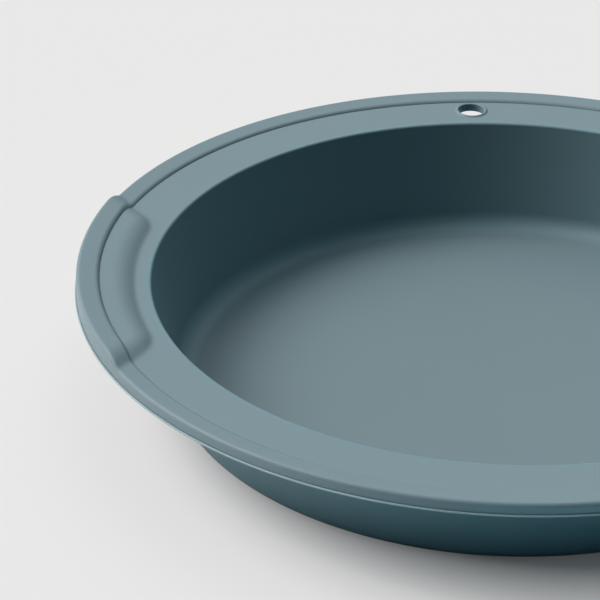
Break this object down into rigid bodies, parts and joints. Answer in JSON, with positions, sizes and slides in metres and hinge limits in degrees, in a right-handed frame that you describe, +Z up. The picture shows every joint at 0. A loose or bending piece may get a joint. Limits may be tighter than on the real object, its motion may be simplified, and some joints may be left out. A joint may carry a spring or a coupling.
{
  "type": "round silicone baking dish",
  "caption": "Shallow round silicone baking dish with a wide flange, raised finger grips, a hanging hole and a rim moulded over a steel wire hoop.",
  "frame": {"origin": "centre of the flat underside, on the surface that the dish stands on", "axes": "+Z up, through the middle of the bowl; +X and -X through the two grips; +Y through the hanging hole"},
  "size_m": [0.284, 0.284, 0.0437],
  "materials": {
    "silicone": "satin moulded food-grade silicone, grey teal",
    "steel_wire": "drawn stainless wire"
  },
  "bodies": {
    "root": {"dish_body": "silicone", "rim_cover": "silicone", "rim_hoop": "steel_wire"}
  },
  "joints": []
}
